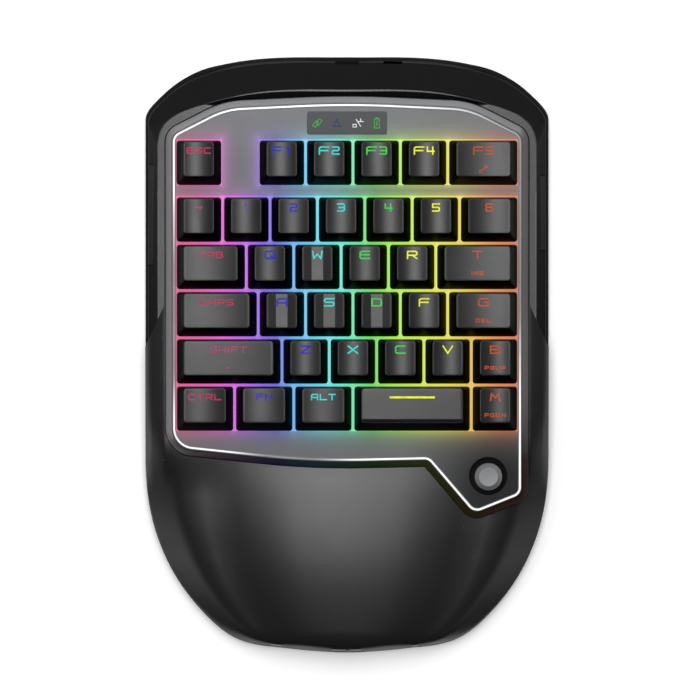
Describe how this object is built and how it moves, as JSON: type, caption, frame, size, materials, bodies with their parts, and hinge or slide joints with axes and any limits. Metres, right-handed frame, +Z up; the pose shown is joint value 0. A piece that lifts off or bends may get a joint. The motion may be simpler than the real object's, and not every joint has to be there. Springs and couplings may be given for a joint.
{
  "type": "one-handed gaming keypad",
  "caption": "One-handed mechanical keypad with a sculpted palm rest, sprung keycaps on a lit panel, a thumb joystick, slim side buttons and a smoked status window.",
  "frame": {"origin": "under the middle of the body, on the surface that the rubber feet stand on", "axes": "+Z up, +Y to the rear away from the palm rest, +X to the side of the joystick"},
  "size_m": [0.1632, 0.2411, 0.0385],
  "materials": {
    "key_plastic": "satin",
    "switch_plastic": "satin",
    "spring_steel": "satin",
    "panel_metal": "satin",
    "window_smoke": "gloss",
    "light_guide": "satin",
    "bezel_plastic": "satin",
    "lamp_lens": "gloss",
    "board_laminate": "satin",
    "stick_rubber": "matte",
    "palm_plastic": "satin",
    "black_plastic": "gloss",
    "button_plastic": "gloss",
    "cover_plastic": "satin",
    "foot_rubber": "matte",
    "battery_wrap": "satin"
  },
  "bodies": {
    "case": {"battery_pack": "battery_wrap", "bezel_frame": "bezel_plastic", "bottom_cover": "cover_plastic", "case_screws": "spring_steel", "circuit_board": "board_laminate", "joystick_base": "switch_plastic", "light_diodes": "lamp_lens", "light_ring": "light_guide", "outer_shell": "black_plastic", "port_board": "board_laminate", "rubber_feet": "foot_rubber", "stabilizer_housings": "switch_plastic", "status_window": "window_smoke", "switch_housings": "switch_plastic", "switch_springs": "spring_steel", "top_panel": "panel_metal", "upper_shell": "palm_plastic", "usb_socket": "spring_steel"},
    "key_1_body": {"key_1": "key_plastic"},
    "key_2_body": {"key_2": "key_plastic"},
    "key_3_body": {"key_3": "key_plastic"},
    "key_4_body": {"key_4": "key_plastic"},
    "key_5_body": {"key_5": "key_plastic"},
    "key_6_body": {"key_6": "key_plastic"},
    "key_a_body": {"key_a": "key_plastic"},
    "key_alt_body": {"key_alt": "key_plastic"},
    "key_b_body": {"key_b": "key_plastic"},
    "key_c_body": {"key_c": "key_plastic"},
    "key_caps_body": {"key_caps": "key_plastic"},
    "key_ctrl_body": {"key_ctrl": "key_plastic"},
    "key_d_body": {"key_d": "key_plastic"},
    "key_e_body": {"key_e": "key_plastic"},
    "key_esc_body": {"key_esc": "key_plastic"},
    "key_f_body": {"key_f": "key_plastic"},
    "key_f1_body": {"key_f1": "key_plastic"},
    "key_f2_body": {"key_f2": "key_plastic"},
    "key_f3_body": {"key_f3": "key_plastic"},
    "key_f4_body": {"key_f4": "key_plastic"},
    "key_f5_body": {"key_f5": "key_plastic"},
    "key_fn_body": {"key_fn": "key_plastic"},
    "key_g_body": {"key_g": "key_plastic"},
    "key_grave_body": {"key_grave": "key_plastic"},
    "key_m_body": {"key_m": "key_plastic"},
    "key_q_body": {"key_q": "key_plastic"},
    "key_r_body": {"key_r": "key_plastic"},
    "key_s_body": {"key_s": "key_plastic"},
    "key_shift_body": {"key_shift": "key_plastic"},
    "key_space_body": {"key_space": "key_plastic"},
    "key_t_body": {"key_t": "key_plastic"},
    "key_tab_body": {"key_tab": "key_plastic"},
    "key_v_body": {"key_v": "key_plastic"},
    "key_w_body": {"key_w": "key_plastic"},
    "key_x_body": {"key_x": "key_plastic"},
    "key_z_body": {"key_z": "key_plastic"},
    "stick_gimbal": {"joystick_gimbal": "spring_steel"},
    "stick": {"joystick_cap": "stick_rubber", "joystick_stick": "switch_plastic"},
    "left_button": {"side_button_left": "button_plastic"},
    "right_button": {"side_button_right": "button_plastic"},
    "power_knob": {"power_slider": "button_plastic"}
  },
  "joints": [
    {"name": "key_1_press", "type": "slide", "parent": "case", "child": "key_1_body", "axis": [0, 0.0523, -0.9986], "range_m": [0, 0.004], "stiffness_N_per_m": 120, "springref_m": -0.003, "deforming": ["switch_springs"]},
    {"name": "key_2_press", "type": "slide", "parent": "case", "child": "key_2_body", "axis": [0, 0.0523, -0.9986], "range_m": [0, 0.004], "stiffness_N_per_m": 120, "springref_m": -0.003, "deforming": ["switch_springs"]},
    {"name": "key_3_press", "type": "slide", "parent": "case", "child": "key_3_body", "axis": [0, 0.0523, -0.9986], "range_m": [0, 0.004], "stiffness_N_per_m": 120, "springref_m": -0.003, "deforming": ["switch_springs"]},
    {"name": "key_4_press", "type": "slide", "parent": "case", "child": "key_4_body", "axis": [0, 0.0523, -0.9986], "range_m": [0, 0.004], "stiffness_N_per_m": 120, "springref_m": -0.003, "deforming": ["switch_springs"]},
    {"name": "key_5_press", "type": "slide", "parent": "case", "child": "key_5_body", "axis": [0, 0.0523, -0.9986], "range_m": [0, 0.004], "stiffness_N_per_m": 120, "springref_m": -0.003, "deforming": ["switch_springs"]},
    {"name": "key_6_press", "type": "slide", "parent": "case", "child": "key_6_body", "axis": [0, 0.0523, -0.9986], "range_m": [0, 0.004], "stiffness_N_per_m": 120, "springref_m": -0.003, "deforming": ["switch_springs"]},
    {"name": "key_a_press", "type": "slide", "parent": "case", "child": "key_a_body", "axis": [0, 0.0523, -0.9986], "range_m": [0, 0.004], "stiffness_N_per_m": 120, "springref_m": -0.003, "deforming": ["switch_springs"]},
    {"name": "key_alt_press", "type": "slide", "parent": "case", "child": "key_alt_body", "axis": [0, 0.0523, -0.9986], "range_m": [0, 0.004], "stiffness_N_per_m": 120, "springref_m": -0.003, "deforming": ["switch_springs"]},
    {"name": "key_b_press", "type": "slide", "parent": "case", "child": "key_b_body", "axis": [0, 0.0523, -0.9986], "range_m": [0, 0.004], "stiffness_N_per_m": 120, "springref_m": -0.003, "deforming": ["switch_springs"]},
    {"name": "key_c_press", "type": "slide", "parent": "case", "child": "key_c_body", "axis": [0, 0.0523, -0.9986], "range_m": [0, 0.004], "stiffness_N_per_m": 120, "springref_m": -0.003, "deforming": ["switch_springs"]},
    {"name": "key_caps_press", "type": "slide", "parent": "case", "child": "key_caps_body", "axis": [0, 0.0523, -0.9986], "range_m": [0, 0.004], "stiffness_N_per_m": 120, "springref_m": -0.003, "deforming": ["switch_springs"]},
    {"name": "key_ctrl_press", "type": "slide", "parent": "case", "child": "key_ctrl_body", "axis": [0, 0.0523, -0.9986], "range_m": [0, 0.004], "stiffness_N_per_m": 120, "springref_m": -0.003, "deforming": ["switch_springs"]},
    {"name": "key_d_press", "type": "slide", "parent": "case", "child": "key_d_body", "axis": [0, 0.0523, -0.9986], "range_m": [0, 0.004], "stiffness_N_per_m": 120, "springref_m": -0.003, "deforming": ["switch_springs"]},
    {"name": "key_e_press", "type": "slide", "parent": "case", "child": "key_e_body", "axis": [0, 0.0523, -0.9986], "range_m": [0, 0.004], "stiffness_N_per_m": 120, "springref_m": -0.003, "deforming": ["switch_springs"]},
    {"name": "key_esc_press", "type": "slide", "parent": "case", "child": "key_esc_body", "axis": [0, 0.0523, -0.9986], "range_m": [0, 0.004], "stiffness_N_per_m": 120, "springref_m": -0.003, "deforming": ["switch_springs"]},
    {"name": "key_f_press", "type": "slide", "parent": "case", "child": "key_f_body", "axis": [0, 0.0523, -0.9986], "range_m": [0, 0.004], "stiffness_N_per_m": 120, "springref_m": -0.003, "deforming": ["switch_springs"]},
    {"name": "key_f1_press", "type": "slide", "parent": "case", "child": "key_f1_body", "axis": [0, 0.0523, -0.9986], "range_m": [0, 0.004], "stiffness_N_per_m": 120, "springref_m": -0.003, "deforming": ["switch_springs"]},
    {"name": "key_f2_press", "type": "slide", "parent": "case", "child": "key_f2_body", "axis": [0, 0.0523, -0.9986], "range_m": [0, 0.004], "stiffness_N_per_m": 120, "springref_m": -0.003, "deforming": ["switch_springs"]},
    {"name": "key_f3_press", "type": "slide", "parent": "case", "child": "key_f3_body", "axis": [0, 0.0523, -0.9986], "range_m": [0, 0.004], "stiffness_N_per_m": 120, "springref_m": -0.003, "deforming": ["switch_springs"]},
    {"name": "key_f4_press", "type": "slide", "parent": "case", "child": "key_f4_body", "axis": [0, 0.0523, -0.9986], "range_m": [0, 0.004], "stiffness_N_per_m": 120, "springref_m": -0.003, "deforming": ["switch_springs"]},
    {"name": "key_f5_press", "type": "slide", "parent": "case", "child": "key_f5_body", "axis": [0, 0.0523, -0.9986], "range_m": [0, 0.004], "stiffness_N_per_m": 120, "springref_m": -0.003, "deforming": ["switch_springs"]},
    {"name": "key_fn_press", "type": "slide", "parent": "case", "child": "key_fn_body", "axis": [0, 0.0523, -0.9986], "range_m": [0, 0.004], "stiffness_N_per_m": 120, "springref_m": -0.003, "deforming": ["switch_springs"]},
    {"name": "key_g_press", "type": "slide", "parent": "case", "child": "key_g_body", "axis": [0, 0.0523, -0.9986], "range_m": [0, 0.004], "stiffness_N_per_m": 120, "springref_m": -0.003, "deforming": ["switch_springs"]},
    {"name": "key_grave_press", "type": "slide", "parent": "case", "child": "key_grave_body", "axis": [0, 0.0523, -0.9986], "range_m": [0, 0.004], "stiffness_N_per_m": 120, "springref_m": -0.003, "deforming": ["switch_springs"]},
    {"name": "key_m_press", "type": "slide", "parent": "case", "child": "key_m_body", "axis": [0, 0.0523, -0.9986], "range_m": [0, 0.004], "stiffness_N_per_m": 120, "springref_m": -0.003, "deforming": ["switch_springs"]},
    {"name": "key_q_press", "type": "slide", "parent": "case", "child": "key_q_body", "axis": [0, 0.0523, -0.9986], "range_m": [0, 0.004], "stiffness_N_per_m": 120, "springref_m": -0.003, "deforming": ["switch_springs"]},
    {"name": "key_r_press", "type": "slide", "parent": "case", "child": "key_r_body", "axis": [0, 0.0523, -0.9986], "range_m": [0, 0.004], "stiffness_N_per_m": 120, "springref_m": -0.003, "deforming": ["switch_springs"]},
    {"name": "key_s_press", "type": "slide", "parent": "case", "child": "key_s_body", "axis": [0, 0.0523, -0.9986], "range_m": [0, 0.004], "stiffness_N_per_m": 120, "springref_m": -0.003, "deforming": ["switch_springs"]},
    {"name": "key_shift_press", "type": "slide", "parent": "case", "child": "key_shift_body", "axis": [0, 0.0523, -0.9986], "range_m": [0, 0.004], "stiffness_N_per_m": 120, "springref_m": -0.003, "deforming": ["switch_springs"]},
    {"name": "key_space_press", "type": "slide", "parent": "case", "child": "key_space_body", "axis": [0, 0.0523, -0.9986], "range_m": [0, 0.004], "stiffness_N_per_m": 120, "springref_m": -0.003, "deforming": ["switch_springs"]},
    {"name": "key_t_press", "type": "slide", "parent": "case", "child": "key_t_body", "axis": [0, 0.0523, -0.9986], "range_m": [0, 0.004], "stiffness_N_per_m": 120, "springref_m": -0.003, "deforming": ["switch_springs"]},
    {"name": "key_tab_press", "type": "slide", "parent": "case", "child": "key_tab_body", "axis": [0, 0.0523, -0.9986], "range_m": [0, 0.004], "stiffness_N_per_m": 120, "springref_m": -0.003, "deforming": ["switch_springs"]},
    {"name": "key_v_press", "type": "slide", "parent": "case", "child": "key_v_body", "axis": [0, 0.0523, -0.9986], "range_m": [0, 0.004], "stiffness_N_per_m": 120, "springref_m": -0.003, "deforming": ["switch_springs"]},
    {"name": "key_w_press", "type": "slide", "parent": "case", "child": "key_w_body", "axis": [0, 0.0523, -0.9986], "range_m": [0, 0.004], "stiffness_N_per_m": 120, "springref_m": -0.003, "deforming": ["switch_springs"]},
    {"name": "key_x_press", "type": "slide", "parent": "case", "child": "key_x_body", "axis": [0, 0.0523, -0.9986], "range_m": [0, 0.004], "stiffness_N_per_m": 120, "springref_m": -0.003, "deforming": ["switch_springs"]},
    {"name": "key_z_press", "type": "slide", "parent": "case", "child": "key_z_body", "axis": [0, 0.0523, -0.9986], "range_m": [0, 0.004], "stiffness_N_per_m": 120, "springref_m": -0.003, "deforming": ["switch_springs"]},
    {"name": "stick_fore_aft", "type": "hinge", "parent": "case", "child": "stick_gimbal", "pos_m": [0.05699, -0.0484, 0.00895], "axis": [1, 0, 0], "range_deg": [-15, 15], "stiffness_Nm_per_rad": 0.02},
    {"name": "stick_side_to_side", "type": "hinge", "parent": "stick_gimbal", "child": "stick", "pos_m": [0.05699, -0.0484, 0.00895], "axis": [0, 0.9986, 0.0523], "range_deg": [-15, 15], "stiffness_Nm_per_rad": 0.02},
    {"name": "left_button_press", "type": "slide", "parent": "case", "child": "left_button", "axis": [1, 0, 0], "range_m": [0, 0.0008], "stiffness_N_per_m": 800, "springref_m": -0.0005},
    {"name": "right_button_press", "type": "slide", "parent": "case", "child": "right_button", "axis": [-1, 0, 0], "range_m": [0, 0.0008], "stiffness_N_per_m": 800, "springref_m": -0.0005},
    {"name": "power_slide", "type": "slide", "parent": "case", "child": "power_knob", "axis": [1, 0, 0], "range_m": [0, 0.003]}
  ]
}
